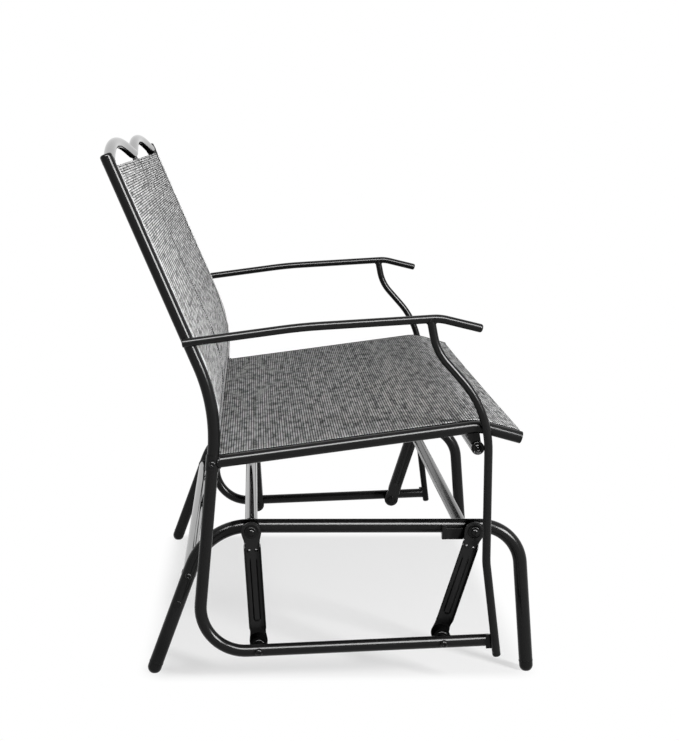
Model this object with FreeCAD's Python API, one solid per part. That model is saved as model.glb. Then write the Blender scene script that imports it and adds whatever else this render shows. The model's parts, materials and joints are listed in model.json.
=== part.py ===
import FreeCAD, Part
import math
import os

from FreeCAD import Vector

# Two-seat glider bench: a standing base, four swing arms and a hanging seat frame with two slings.
# Millimetres. X runs across the bench (+X is the sitter's left), the front faces -Y, +Z is up.
# The origin is on the ground, under the middle of the bench.
# Side-view places are written as (y, z).

# Tube sizes
base_tube = 24.0
base_wall = 1.5
frame_tube = 20.5
frame_wall = 1.5
rail_tube = 20.5
cross_tube = 22.0
top_tube_size = 19.0
slim_tube = 14.0
slim_wall = 1.4

# Clearances
weld_gap = 0.2
running_gap = 0.05
sling_gap = 0.3
cut_past = 1.0
same_place = 0.01

# Places across the bench, to tube axes, for the left side
base_half_width = 455.0
frame_offset = 95.0
frame_half_width = base_half_width + frame_offset
armrest_half_width = frame_half_width + (frame_tube + slim_tube) / 2 + weld_gap

# Base arch
rail_height = 259.0
rear_corner_y = 201.5
front_corner_y = -333.8
rear_leg_lean = 19.75
front_leg_lean = 4.9
rear_bend = 105.0
front_bend = 72.0
foot_collar = 8.0
foot_plug_length = 26.0
foot_flat_radius = 7.0
low_cross_height = 174.0
leg_plug_height = 124.0

# Swing linkage
rear_pivot_y = 125.5
front_pivot_y = -253.0
rear_arm_length = 190.0
front_arm_length = 185.0
rear_arm_lean = 4.07
front_arm_lean = -17.5
arm_width = 27.0
arm_sheet = 2.5
arm_flange_height = 7.0
arm_flange_sheet = 2.0
arm_eye_radius = 17.0
arm_foot_radius = 15.5
arm_flange_start = 21.0
arm_sheet_offset = 42.0
dimple_distance = 33.0
dimple_spacing = 12.0
dimple_radius = 2.6
dimple_height = 1.2
dimple_root = 0.5
housing_diameter = 30.0
bush_wall = 3.0
pivot_bolt = 8.0
open_pivot_play = 5.5
washer_sheet = 1.5
washer_diameter = 22.0
low_washer_diameter = 24.0
cap_diameter = 18.0
cap_height = 6.0
low_spacer_length = 11.0
spacer_diameter = 15.0
low_head_diameter = 13.5
nut_height = 6.5
nut_corners = 15.0
bolt_past_nut = 3.0

# Front saddle under the base rail
saddle_rear_y = -203.0
saddle_length = 53.0
saddle_block_length = 33.0
saddle_bottom = 6.5
saddle_lip = 11.0
saddle_block_reach = 11.0
front_cross_y = -239.5
front_cross_drop = 7.0

# Seat frame, side view
upright_top = (357.0, 883.5)
upright_lean = 23.5
knee_height = 480.0
knee_bend = 300.0
leg_lean = 4.68
leg_bend = 75.0
joint_height = 389.0
band_height = 26.0
band_sheet = 1.2
bottom_tube_end_y = -274.0
tab_overlap = 6.0
tab_length = 13.0
tab_height = 24.0
tab_sheet = 5.0

rail_rear_y = 184.0
rail_rear_z = 390.2
rail_peak = (-250.0, 450.6)
rail_front = (-317.0, 432.5)
rail_bend = 70.0

armrest_points = [(236.0, 588.8), (46.5, 615.8), (-178.5, 631.2), (-243.5, 615.9)]
armrest_bends = [900.0, 75.0]
post_top_y = -163.5
post_points = [(-174.0, 578.0), (-262.5, 479.2), (-264.0, 225.0)]
post_foot_y = -285.0
post_foot_drop = 18.8
post_bends = [90.0, 180.0, 100.0]

# Top tube with one shallow arch for each seat
top_tube_drop = 7.5
arch_corner_rise = 45.0
arch_bend = 1250.0
valley_rise = 3.0
valley_bend = 60.0

# Seat cross tubes
front_seat_tube = (-246.8, 415.0)
front_tube_inset = 1.0
rear_seat_tube_height = 362.0
hanger_top_y = -235.5
hanger_top_length = 26.0
hanger_low_length = 14.0
hanger_sheet = 4.0
plug_flange = 2.0

# Centre bar behind the back sling
bar_diameter = 10.0

# Slings
sling_sheet = 1.8
back_sling_drop = 16.5
back_sling_bottom = 405.0
seat_sling_rear_y = 176.0
seat_slot_angle = 68.0
back_slot_angle = 45.0

# Small fasteners
small_bolt = 6.0
small_head = 12.0
small_head_height = 4.0
leg_plug_stem = 4.0
leg_plug_head = 2.0
insert_length = 24.0
insert_depth = 4.0
insert_end_gap = 2.0
cap_crown = 5.0
armrest_rear_crown = 2.0
upright_cap_crown = 6.0
rail_cap_crown = 3.0
cap_plug_length = 12.0

# Rounding, as a share of a height
head_round = 0.55
cap_round = 0.8
tab_round = 0.35


def point(x, yz):
    """A 3-D point at x across the bench and (y, z) in the side view."""
    return Vector(x, yz[0], yz[1])


def bent_wire(points, bends):
    """A wire of straight runs through the points, with a tangent arc of the given radius at each corner."""
    edges = []
    start = points[0]
    for index, bend in enumerate(bends):
        corner = points[index + 1]
        back = (points[index] - corner).normalize()
        ahead = (points[index + 2] - corner).normalize()
        half_turn = (math.pi - back.getAngle(ahead)) / 2
        tangent = bend * math.tan(half_turn)
        inward = (back + ahead).normalize()
        arc_start = corner + back * tangent
        arc_end = corner + ahead * tangent
        arc_middle = corner + inward * (bend / math.cos(half_turn) - bend)
        edges.append(Part.LineSegment(start, arc_start).toShape())
        edges.append(Part.Arc(arc_start, arc_middle, arc_end).toShape())
        start = arc_end
    edges.append(Part.LineSegment(start, points[-1]).toShape())
    return Part.Wire(edges)


def swept(wire, diameter):
    """A round bar along a wire."""
    first = wire.Edges[0]
    start = first.valueAt(first.FirstParameter)
    ring = Part.Wire(Part.Circle(start, first.tangentAt(first.FirstParameter), diameter / 2).toShape())
    return wire.makePipeShell([ring], True, False)


def swept_tube(wire, diameter, wall):
    """A hollow tube along a wire."""
    return swept(wire, diameter).cut(swept(wire, diameter - 2 * wall))


def rod(start, end, diameter):
    """A round bar between two points."""
    axis = end - start
    return Part.makeCylinder(diameter / 2, axis.Length, start, axis)


def ring(start, end, outer, inner):
    """A round sleeve between two points."""
    return rod(start, end, outer).cut(rod(start, end, inner))


def cross_rod(yz, x_start, x_end, diameter):
    """A round bar along X."""
    return rod(point(x_start, yz), point(x_end, yz), diameter)


def cross_hole(yz, x_start, x_end, diameter):
    """The tool for a round hole along X, a little longer than the hole at both ends."""
    return cross_rod(yz, x_start - cut_past, x_end + cut_past, diameter)


def cross_ring(yz, x_start, x_end, outer, inner):
    """A round sleeve along X."""
    return ring(point(x_start, yz), point(x_end, yz), outer, inner)


def largest(shape):
    """The biggest solid that a cut leaves."""
    return max(shape.Solids, key=lambda solid: solid.Volume)


def coped_tube(yz, half_width, outer, wall, clear):
    """A tube across the bench whose ends are shaped to sit on the tube that it meets at each side."""
    half = largest(cross_ring(yz, 0, half_width, outer, outer - 2 * wall).cut(clear))
    return half.fuse(right_of(half)).removeSplitter()


def side_box(x_start, x_end, y_start, y_end, z_start, z_end):
    """A box from its corner values."""
    return Part.makeBox(x_end - x_start, y_end - y_start, z_end - z_start, Vector(x_start, y_start, z_start))


def right_of(shape):
    """The same piece on the right side of the bench."""
    return shape.mirror(Vector(0, 0, 0), Vector(1, 0, 0))


def both_sides(shapes):
    """One group with the pieces of both sides."""
    return Part.makeCompound(list(shapes) + [right_of(shape) for shape in shapes])


def lean_direction(degrees):
    """The side-view direction that leans back by an angle as it goes down."""
    angle = math.radians(degrees)
    return Vector(0, math.sin(angle), -math.cos(angle))


def domed_head(yz, x_start, outward, diameter, height):
    """A round cap nut or bolt head with a rounded rim, standing on x_start."""
    head = cross_rod(yz, x_start, x_start + outward * height, diameter)
    end_x = x_start + outward * height
    rim = [edge for edge in head.Edges if abs(edge.BoundBox.XMin - end_x) < same_place
           and abs(edge.BoundBox.XMax - end_x) < same_place]
    return head.makeFillet(height * head_round, rim)


def dome_cap(end, direction, tube, wall, crown, length):
    """A cap on a tube end: a plug in the bore under a domed lid."""
    radius = tube / 2
    plug = rod(end - direction * length, end + direction * weld_gap, tube - 2 * wall - 2 * running_gap)
    lid = rod(end + direction * weld_gap, end + direction * crown, tube)
    top = end + direction * crown
    rim = [edge for edge in lid.Edges if edge.BoundBox.Center.distanceToPoint(top) < same_place]
    lid = lid.makeFillet(min(crown - weld_gap, radius) * cap_round, rim)
    return plug.fuse(lid)


def save(name, shape):
    """Write one piece to its own file."""
    solids = shape.Solids
    body = solids[0] if len(solids) == 1 else Part.makeCompound(solids)
    body.exportStep("parts/" + name + ".step")
    state = "valid" if body.isValid() else "NOT VALID"
    print(name, len(solids), "solids", round(body.Volume), "mm3", state)


def save_pair(name, left):
    """Write a piece and its mirror image as name_left and name_right."""
    save(name + "_left", left)
    save(name + "_right", right_of(left))


# Places that follow from the sizes above
base_outer_x = base_half_width + base_tube / 2
base_inner_x = base_half_width - base_tube / 2
frame_outer_x = frame_half_width + frame_tube / 2
frame_inner_x = frame_half_width - frame_tube / 2
armrest_inner_x = armrest_half_width - slim_tube / 2

rear_pivot = (rear_pivot_y, rail_height)
front_pivot = (front_pivot_y, rail_height)


def arm_foot(pivot, length, lean):
    """The lower pivot of an arm that hangs from a pivot."""
    angle = math.radians(lean)
    return (pivot[0] - length * math.sin(angle), pivot[1] - length * math.cos(angle))


rear_foot_pivot = arm_foot(rear_pivot, rear_arm_length, rear_arm_lean)
front_foot_pivot = arm_foot(front_pivot, front_arm_length, front_arm_lean)
bottom_slope = (front_foot_pivot[1] - rear_foot_pivot[1]) / (rear_foot_pivot[0] - front_foot_pivot[0])


def bottom_tube_z(y):
    """Height of the bottom tube's axis, which passes through both lower pivots."""
    return rear_foot_pivot[1] + (rear_foot_pivot[0] - y) * bottom_slope


def upright_at(z):
    """The upright's straight axis at a height."""
    return (upright_top[0] - (upright_top[1] - z) * math.tan(math.radians(upright_lean)), z)


knee = upright_at(knee_height)


def leg_at(z):
    """The lower leg's straight axis at a height."""
    return (knee[0] + (knee[1] - z) * math.tan(math.radians(leg_lean)), z)


leg_slope = math.tan(math.radians(leg_lean))
corner_y = (knee[0] + (knee[1] - rear_foot_pivot[1] - rear_foot_pivot[0] * bottom_slope) * leg_slope)
corner_y = corner_y / (1 - bottom_slope * leg_slope)
leg_corner = (corner_y, bottom_tube_z(corner_y))
joint = leg_at(joint_height)
rear_seat_tube = leg_at(rear_seat_tube_height)


def rear_leg_at(z):
    """The base arch's rear leg axis at a height."""
    return (rear_corner_y + (rail_height - z) * math.tan(math.radians(rear_leg_lean)), z)


def front_leg_at(z):
    """The base arch's front leg axis at a height."""
    return (front_corner_y - (rail_height - z) * math.tan(math.radians(front_leg_lean)), z)


def rail_z(y):
    """Height of the seat rail's axis on its long straight run."""
    slope = (rail_peak[1] - rail_rear_z) / (rail_rear_y - rail_peak[0])
    return rail_rear_z + (rail_rear_y - y) * slope


def armrest_z(y):
    """Height of the armrest's axis on its long straight runs."""
    for start, end in zip(armrest_points, armrest_points[1:]):
        if end[0] <= y <= start[0]:
            return start[1] + (start[0] - y) / (start[0] - end[0]) * (end[1] - start[1])
    return armrest_points[-1][1]


os.makedirs("parts", exist_ok=True)

# Base arches
foot_radius = base_tube / 2
foot_centre_height = math.sqrt(foot_radius ** 2 - foot_flat_radius ** 2)
leg_end_height = foot_centre_height + foot_collar
base_points = [rear_leg_at(leg_end_height), (rear_corner_y, rail_height), (front_corner_y, rail_height),
               front_leg_at(leg_end_height)]
arch_wire = bent_wire([point(base_half_width, yz) for yz in base_points], [rear_bend, front_bend])
low_cross = rear_leg_at(low_cross_height)
leg_plug = rear_leg_at(leg_plug_height)
base_arch = swept_tube(arch_wire, base_tube, base_wall)
for yz in (rear_pivot, front_pivot):
    base_arch = base_arch.cut(cross_hole(yz, base_inner_x, base_outer_x, pivot_bolt + 2 * weld_gap))
base_arch = base_arch.cut(cross_hole(low_cross, base_inner_x, base_outer_x, small_bolt + 2 * weld_gap))
base_arch = base_arch.cut(cross_hole(leg_plug, base_half_width, base_outer_x, small_bolt + 2 * weld_gap))
save_pair("base_arch", base_arch)


# Foot caps: a plug in each leg end under a dome as wide as the tube, cut flat where it stands
def foot_cap(leg_at_height, lean):
    centre = point(base_half_width, leg_at_height(foot_centre_height))
    leg_end = point(base_half_width, leg_at_height(leg_end_height))
    up_leg = -lean_direction(lean)
    dome = Part.makeSphere(foot_radius, centre).fuse(rod(centre, leg_end - up_leg * weld_gap, base_tube))
    plug = rod(centre, leg_end + up_leg * foot_plug_length, base_tube - 2 * base_wall - 2 * running_gap)
    reach = 2 * foot_radius
    ground = side_box(centre.x - reach, centre.x + reach, centre.y - reach, centre.y + reach, -reach, 0)
    return dome.fuse(plug).cut(ground).removeSplitter()


save("foot_caps", both_sides([foot_cap(rear_leg_at, rear_leg_lean), foot_cap(front_leg_at, -front_leg_lean)]))

# Base cross tubes
arch_clear = swept(arch_wire, base_tube + 2 * weld_gap)
save("rear_upper_cross_tube", coped_tube(rear_pivot, base_half_width, cross_tube, base_wall, arch_clear))
save("rear_lower_cross_tube", coped_tube(low_cross, base_half_width, cross_tube, base_wall, arch_clear))

front_cross = (front_cross_y, rail_height - front_cross_drop)
saddle_inner_x = base_inner_x - saddle_lip
save("front_upper_cross_tube",
     cross_ring(front_cross, -saddle_inner_x + weld_gap, saddle_inner_x - weld_gap, cross_tube,
                cross_tube - 2 * base_wall))

# Front saddles: a cradle under each rail that carries the front cross tube
saddle_low = rail_height - base_tube / 2 - saddle_bottom
cradle = side_box(saddle_inner_x, base_outer_x + weld_gap, saddle_rear_y - saddle_length, saddle_rear_y,
                  saddle_low, rail_height)
block = side_box(base_outer_x, base_outer_x + saddle_block_reach, saddle_rear_y - saddle_block_length,
                 saddle_rear_y, saddle_low, rail_height)
saddle = cradle.fuse(block).cut(arch_clear)
saddle = saddle.cut(cross_hole(front_pivot, saddle_inner_x, base_inner_x, nut_corners + 2 * weld_gap))
saddle = saddle.cut(cross_hole(front_pivot, base_inner_x, base_outer_x, pivot_bolt + 2 * weld_gap))
save_pair("front_saddle", largest(saddle))

# Threaded inserts in the ends of the rear cross tubes
insert_outer = cross_tube - 2 * base_wall - 2 * weld_gap
insert_end_x = base_inner_x - insert_depth
insert_start_x = insert_end_x - insert_length
bolt_tip_x = insert_start_x + insert_end_gap
inserts = []
for yz, bolt_size in ((rear_pivot, pivot_bolt), (low_cross, small_bolt)):
    inserts.append(cross_ring(yz, insert_start_x, insert_end_x, insert_outer, bolt_size + 2 * running_gap))
save("cross_tube_inserts", both_sides(inserts))

# Bolts through the rear legs into the lower cross tube, and the plug below each
leg_bolt = cross_rod(low_cross, bolt_tip_x, base_outer_x + weld_gap, small_bolt)
leg_bolt = leg_bolt.fuse(domed_head(low_cross, base_outer_x + weld_gap, 1, small_head, small_head_height))
save("leg_bolts", both_sides([leg_bolt]))
plug_body = cross_rod(leg_plug, base_outer_x - leg_plug_stem, base_outer_x + weld_gap, small_bolt)
plug_body = plug_body.fuse(domed_head(leg_plug, base_outer_x + weld_gap, 1, small_head, leg_plug_head))
save("leg_plugs", both_sides([plug_body]))

# Places across each arm, from the base outwards
top_washer_x = base_outer_x + weld_gap
top_housing_x = top_washer_x + washer_sheet + weld_gap
arm_sheet_x = base_half_width + arm_sheet_offset
arm_outer_x = arm_sheet_x + arm_sheet
low_housing_end_x = frame_inner_x - low_spacer_length
top_cap_x = arm_outer_x + 2 * weld_gap + washer_sheet
bush_bore = pivot_bolt + 2 * running_gap
bush_outer = bush_bore + 2 * bush_wall
open_bore = pivot_bolt + 2 * open_pivot_play


# Swing arms: a pressed sheet with raised edges and round eyes, and a bearing housing at each end
def arm_pressing(top, foot, low_bore):
    top_point = point(arm_sheet_x, top)
    foot_point = point(arm_sheet_x, foot)
    length = top_point.distanceToPoint(foot_point)
    along = (foot_point - top_point).normalize()
    across = Vector(1, 0, 0).cross(along)
    half = arm_width / 2

    def strip(x_start, x_end, side_start, side_end, start, end):
        corners = [top_point + across * side + along * run for side, run in
                   ((side_start, start), (side_end, start), (side_end, end), (side_start, end))]
        outline = Part.makePolygon(corners + corners[:1])
        face = Part.Face(outline)
        face.translate(Vector(x_start - arm_sheet_x, 0, 0))
        return face.extrude(Vector(x_end - x_start, 0, 0))

    sheet = strip(arm_sheet_x, arm_outer_x, -half, half, 0, length)
    for centre, radius in ((top, arm_eye_radius), (foot, arm_foot_radius)):
        sheet = sheet.fuse(cross_rod(centre, arm_sheet_x, arm_outer_x, 2 * radius))
    flange_end_x = arm_outer_x + arm_flange_height
    flange_run = (arm_flange_start, length - arm_flange_start)
    for side in (-1, 1):
        inner = side * (half - arm_flange_sheet)
        sheet = sheet.fuse(strip(arm_sheet_x, flange_end_x, min(inner, side * half), max(inner, side * half),
                                 *flange_run))
    for side in (-1, 1):
        spot = top_point + along * dimple_distance + across * (side * dimple_spacing / 2)
        sheet = sheet.fuse(cross_rod((spot.y, spot.z), arm_outer_x - dimple_root, arm_outer_x + dimple_height,
                                     2 * dimple_radius))
    sheet = sheet.cut(cross_hole(top, arm_sheet_x, arm_outer_x, bush_bore))
    return sheet.cut(cross_hole(foot, arm_sheet_x, arm_outer_x, low_bore)).removeSplitter()


def arm_housings(top, foot, low_bore):
    top_bore = bush_outer + 2 * weld_gap
    upper = cross_ring(top, top_housing_x, arm_sheet_x - weld_gap, housing_diameter, top_bore)
    lower = cross_ring(foot, arm_outer_x + weld_gap, low_housing_end_x, housing_diameter, low_bore)
    return Part.makeCompound([upper, lower])


def arm_bushes(top, foot, closed):
    upper = cross_ring(top, top_housing_x, arm_sheet_x - weld_gap, bush_outer, bush_bore)
    if not closed:
        return upper
    lower = cross_ring(foot, arm_outer_x + weld_gap, low_housing_end_x, bush_outer, bush_bore)
    return Part.makeCompound([upper, lower])


arms = (("rear_arm", rear_pivot, rear_foot_pivot, True), ("front_arm", front_pivot, front_foot_pivot, False))
for name, top, foot, closed in arms:
    sheet_bore = bush_bore if closed else open_bore
    housing_bore = bush_outer + 2 * weld_gap if closed else open_bore
    save_pair(name + "_pressing", arm_pressing(top, foot, sheet_bore))
    save_pair(name + "_housings", arm_housings(top, foot, housing_bore))
    save_pair(name + "_bushes", arm_bushes(top, foot, closed))

# Top pivots: bolt, washers, cap and nut
top_bolts = []
top_washers = []
for top, inner_end in ((rear_pivot, bolt_tip_x), (front_pivot, base_inner_x - nut_height - bolt_past_nut)):
    bolt = cross_rod(top, inner_end, top_cap_x, pivot_bolt)
    top_bolts.append(bolt.fuse(domed_head(top, top_cap_x, 1, cap_diameter, cap_height)))
    top_washers.append(cross_ring(top, top_washer_x, top_washer_x + washer_sheet, washer_diameter, bush_bore))
    top_washers.append(cross_ring(top, arm_outer_x + weld_gap, arm_outer_x + weld_gap + washer_sheet,
                                  washer_diameter, bush_bore))
save("top_pivot_bolts", both_sides(top_bolts))
save("top_pivot_washers", both_sides(top_washers))


def hex_nut(yz, x_start, x_end, across_corners, bore):
    """A six-sided nut along X."""
    corners = []
    for step in range(7):
        angle = math.radians(60 * step)
        corners.append(Vector(x_start, yz[0] + across_corners / 2 * math.cos(angle),
                              yz[1] + across_corners / 2 * math.sin(angle)))
    body = Part.Face(Part.makePolygon(corners)).extrude(Vector(x_end - x_start, 0, 0))
    return body.cut(cross_hole(yz, x_start, x_end, bore))


top_nut_x = base_inner_x - weld_gap
top_nut = hex_nut(front_pivot, top_nut_x - nut_height, top_nut_x, nut_corners, bush_bore)
save("top_pivot_nuts", both_sides([top_nut]))

# Back uprights
upright_wire = bent_wire([point(frame_half_width, yz) for yz in (upright_top, knee, joint)], [knee_bend])
upright = swept_tube(upright_wire, frame_tube, frame_wall)
upright_way = -lean_direction(-upright_lean)
upright_end = point(frame_half_width, upright_top)
upright_solid = swept(upright_wire, frame_tube + 2 * weld_gap)
cap_top = upright_end + upright_way * (upright_cap_crown + weld_gap)
upright_solid = upright_solid.fuse(rod(upright_end, cap_top, frame_tube + 2 * weld_gap))
save_pair("back_upright", upright)

# Lower legs: down from the joint, forward along the bottom, ending in a flattened tab
tab_start_y = bottom_tube_end_y + tab_overlap
tab_end_y = bottom_tube_end_y - tab_length
leg_top = point(frame_half_width, joint) + lean_direction(leg_lean) * weld_gap
leg_points = [leg_top, point(frame_half_width, leg_corner),
              point(frame_half_width, (bottom_tube_end_y, bottom_tube_z(bottom_tube_end_y)))]
leg_wire = bent_wire(leg_points, [leg_bend])
lower_leg = swept_tube(leg_wire, frame_tube, frame_wall)
leg_solid = swept(leg_wire, frame_tube + 2 * weld_gap)
tab_outer_x = armrest_inner_x - weld_gap
tab = side_box(tab_outer_x - tab_sheet, tab_outer_x, tab_end_y, tab_start_y, -tab_height / 2, tab_height / 2)
tab_corners = [edge for edge in tab.Edges if edge.BoundBox.YMax < tab_end_y + same_place
               and edge.BoundBox.XLength > tab_sheet / 2]
tab = tab.makeFillet(tab_height * tab_round, tab_corners)
tab_middle_y = (tab_start_y + tab_end_y) / 2
tab.rotate(Vector(0, tab_middle_y, 0), Vector(1, 0, 0), -math.degrees(math.atan(bottom_slope)))
tab.translate(Vector(0, 0, bottom_tube_z(tab_middle_y)))
lower_leg = lower_leg.fuse(tab)
for foot in (rear_foot_pivot, front_foot_pivot):
    lower_leg = lower_leg.cut(cross_hole(foot, frame_inner_x, frame_outer_x, pivot_bolt + 2 * weld_gap))
save_pair("lower_leg", lower_leg)


# Joint bands: a sleeve that clamps the upright on the lower leg
def joint_band():
    down = lean_direction(leg_lean)
    centre = point(frame_half_width, joint)
    sleeve = ring(centre - down * (band_height / 2), centre + down * (band_height / 2),
                  frame_tube + 2 * weld_gap + 2 * band_sheet, frame_tube + 2 * weld_gap)
    return sleeve.cut(upright_solid).cut(leg_solid)


band = joint_band()
save_pair("joint_band", largest(band))
band_clear = rod(point(frame_half_width, joint) - lean_direction(leg_lean) * band_height,
                 point(frame_half_width, joint) + lean_direction(leg_lean) * band_height,
                 frame_tube + 2 * band_sheet + 4 * weld_gap)

# Seat rails
rail_points = [(rail_rear_y, rail_rear_z), rail_peak, rail_front]
rail_wire = bent_wire([point(frame_half_width, yz) for yz in rail_points], [rail_bend])
rail_body = swept_tube(rail_wire, rail_tube, frame_wall)
save_pair("seat_rail", largest(rail_body.cut(band_clear)))

# Armrests and front posts
armrest_wire = bent_wire([point(armrest_half_width, yz) for yz in armrest_points], armrest_bends)
save_pair("armrest", swept_tube(armrest_wire, slim_tube, slim_wall))

post_top = (post_top_y, armrest_z(post_top_y))
post_foot = (post_foot_y, bottom_tube_z(post_foot_y) - post_foot_drop)
post_line = [post_top] + post_points + [post_foot]
post_wire = bent_wire([point(armrest_half_width, yz) for yz in post_line], post_bends)
post = swept_tube(post_wire, slim_tube, slim_wall)
save_pair("arm_post", largest(post.cut(swept(armrest_wire, slim_tube + 2 * weld_gap))))

# Top tube: two shallow arches that meet in a valley, in the plane of the uprights
def on_back_plane(x, rise):
    lean = math.radians(upright_lean)
    base_yz = upright_at(upright_top[1] - top_tube_drop)
    return Vector(x, base_yz[0] + rise * math.sin(lean), base_yz[1] + rise * math.cos(lean))


arch_points = [on_back_plane(frame_half_width, 0), on_back_plane(frame_half_width / 2, arch_corner_rise),
               on_back_plane(0, valley_rise), on_back_plane(-frame_half_width / 2, arch_corner_rise),
               on_back_plane(-frame_half_width, 0)]
top_wire = bent_wire(arch_points, [arch_bend, valley_bend, arch_bend])
top_tube = swept_tube(top_wire, top_tube_size, frame_wall)
top_tube = top_tube.cut(upright_solid).cut(right_of(upright_solid))
save("back_top_tube", largest(top_tube))

# Seat cross tubes
front_tube_reach = frame_half_width + slim_tube / 2 - front_tube_inset
save("front_seat_cross_tube", cross_ring(front_seat_tube, -front_tube_reach, front_tube_reach, cross_tube,
                                         cross_tube - 2 * base_wall))
save("rear_seat_cross_tube", coped_tube(rear_seat_tube, frame_half_width, frame_tube, frame_wall, leg_solid))

# Hangers between each seat rail and the front cross tube
hanger_x = frame_half_width - hanger_sheet / 2
hanger_top_z = rail_z(hanger_top_y)
hanger_corners = []
for sign in (1, -1):
    low_y = front_seat_tube[0] + sign * hanger_low_length / 2
    hanger_corners.append(Vector(hanger_x, low_y, front_seat_tube[1]))
for sign in (-1, 1):
    hanger_corners.append(Vector(hanger_x, hanger_top_y + sign * hanger_top_length / 2, hanger_top_z))
hanger = Part.Face(Part.makePolygon(hanger_corners + hanger_corners[:1])).extrude(Vector(hanger_sheet, 0, 0))
hanger = hanger.cut(swept(rail_wire, rail_tube + 2 * weld_gap))
hanger = hanger.cut(cross_rod(front_seat_tube, 0, frame_outer_x, cross_tube + 2 * weld_gap))
save("front_hangers", both_sides([largest(hanger)]))

# Centre bar behind the back sling
bar_top = on_back_plane(0, valley_rise)
bar_wire = bent_wire([bar_top, point(0, knee), point(0, rear_seat_tube)], [knee_bend])
bar = swept_tube(bar_wire, bar_diameter, slim_wall)
bar = bar.cut(swept(top_wire, top_tube_size + 2 * weld_gap))
bar = bar.cut(cross_rod(rear_seat_tube, -bar_diameter, bar_diameter, frame_tube + 2 * weld_gap))
save("back_centre_bar", largest(bar))

# Bottom pivots: bolt, spacer, washers and nut
bottom_bolts = []
bottom_washers = []
bottom_spacers = []
bottom_nuts = []
low_washer_x = low_housing_end_x + weld_gap
inner_washer_x = arm_sheet_x - weld_gap - washer_sheet
nut_outer_x = inner_washer_x - weld_gap
head_x = frame_outer_x + weld_gap
for foot in (rear_foot_pivot, front_foot_pivot):
    bolt = cross_rod(foot, nut_outer_x - nut_height - bolt_past_nut, head_x, pivot_bolt)
    bottom_bolts.append(bolt.fuse(domed_head(foot, head_x, 1, low_head_diameter, cap_height)))
    bottom_spacers.append(cross_ring(foot, low_washer_x + washer_sheet + weld_gap, frame_inner_x - weld_gap,
                                     spacer_diameter, bush_bore))
    for washer_x in (low_washer_x, inner_washer_x):
        bottom_washers.append(cross_ring(foot, washer_x, washer_x + washer_sheet, low_washer_diameter,
                                         bush_bore))
    bottom_nuts.append(hex_nut(foot, nut_outer_x - nut_height, nut_outer_x, nut_corners, bush_bore))
save("bottom_pivot_bolts", both_sides(bottom_bolts))
save("bottom_pivot_spacers", both_sides(bottom_spacers))
save("bottom_pivot_washers", both_sides(bottom_washers))
save("bottom_pivot_nuts", both_sides(bottom_nuts))

# Joint band bolts
band_bolt_x = frame_outer_x + weld_gap + band_sheet
band_bolt = domed_head(joint, band_bolt_x + weld_gap, 1, small_head, small_head_height)
save("joint_band_bolts", both_sides([band_bolt]))


# End caps
def end_direction(points, last):
    pair = (points[-2], points[-1]) if last else (points[1], points[0])
    return (point(0, pair[1]) - point(0, pair[0])).normalize()


upright_cap = dome_cap(upright_end, upright_way, frame_tube, frame_wall, upright_cap_crown, cap_plug_length)
save("upright_caps", both_sides([upright_cap]))
armrest_caps = []
for is_last, crown in ((False, armrest_rear_crown), (True, cap_crown)):
    end_yz = armrest_points[-1] if is_last else armrest_points[0]
    armrest_caps.append(dome_cap(point(armrest_half_width, end_yz), end_direction(armrest_points, is_last),
                                 slim_tube, slim_wall, crown, cap_plug_length))
save("armrest_caps", both_sides(armrest_caps))
post_cap = dome_cap(point(armrest_half_width, post_foot), end_direction(post_line, True), slim_tube,
                    slim_wall, cap_crown, cap_plug_length)
save("post_caps", both_sides([post_cap]))
rail_cap = dome_cap(point(frame_half_width, rail_front), end_direction(rail_points, True), rail_tube,
                    frame_wall, rail_cap_crown, cap_plug_length)
save("seat_rail_caps", both_sides([rail_cap]))
tube_plug = dome_cap(point(front_tube_reach, front_seat_tube), Vector(1, 0, 0), cross_tube, base_wall,
                     plug_flange, cap_plug_length)
save("cross_tube_plugs", both_sides([tube_plug]))


# Slings: flat closed sheets whose side edges meet slots in the rails and in the uprights
def sheet_beside(points, bends, offset, half_width):
    """The band between two parallels of a bent side-view line, as wide as the bench."""
    runs = [Vector(0, b[0] - a[0], b[1] - a[1]).normalize() for a, b in zip(points, points[1:])]
    normals = [Vector(0, -run.z, run.y) for run in runs]
    parallels = []
    for distance in (offset, offset + sling_sheet):
        moved = []
        for index, yz in enumerate(points):
            near = normals[max(index - 1, 0)]
            far = normals[min(index, len(normals) - 1)]
            middle = (near + far).normalize()
            moved.append(point(-half_width, yz) + middle * (distance / middle.dot(near)))
        turns = [runs[index].cross(runs[index + 1]).x for index in range(len(runs) - 1)]
        radii = [bend - distance * math.copysign(1, turn) for bend, turn in zip(bends, turns)]
        parallels.append(bent_wire(moved, radii))
    low, high = parallels
    ends = []
    for index in (0, -1):
        start = low.OrderedVertexes[index].Point
        ends.append(Part.LineSegment(start, high.OrderedVertexes[index].Point).toShape())
    outline = Part.Wire(Part.__sortEdges__(low.Edges + high.Edges + ends))
    return Part.Face(outline).extrude(Vector(2 * half_width, 0, 0))


def sling_place(tube, slot_angle):
    """Offset from the tube's axis and half width of a sling whose edges meet the slots in two tubes."""
    offset = tube / 2 * math.sin(math.radians(slot_angle)) - sling_sheet / 2
    return offset, frame_half_width - math.sqrt((tube / 2) ** 2 - offset ** 2) - sling_gap


seat_line = [rail_front, rail_peak, (seat_sling_rear_y, rail_z(seat_sling_rear_y))]
save("seat_sling", sheet_beside(seat_line, [rail_bend], *sling_place(rail_tube, seat_slot_angle)))
back_line = [joint, knee, upright_at(upright_top[1] - back_sling_drop)]
back_sling = sheet_beside(back_line, [knee_bend], *sling_place(frame_tube, back_slot_angle))
below_back = side_box(-frame_half_width, frame_half_width, 0, knee[0] + frame_tube, 0, back_sling_bottom)
save("back_sling", back_sling.cut(below_back))
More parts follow.
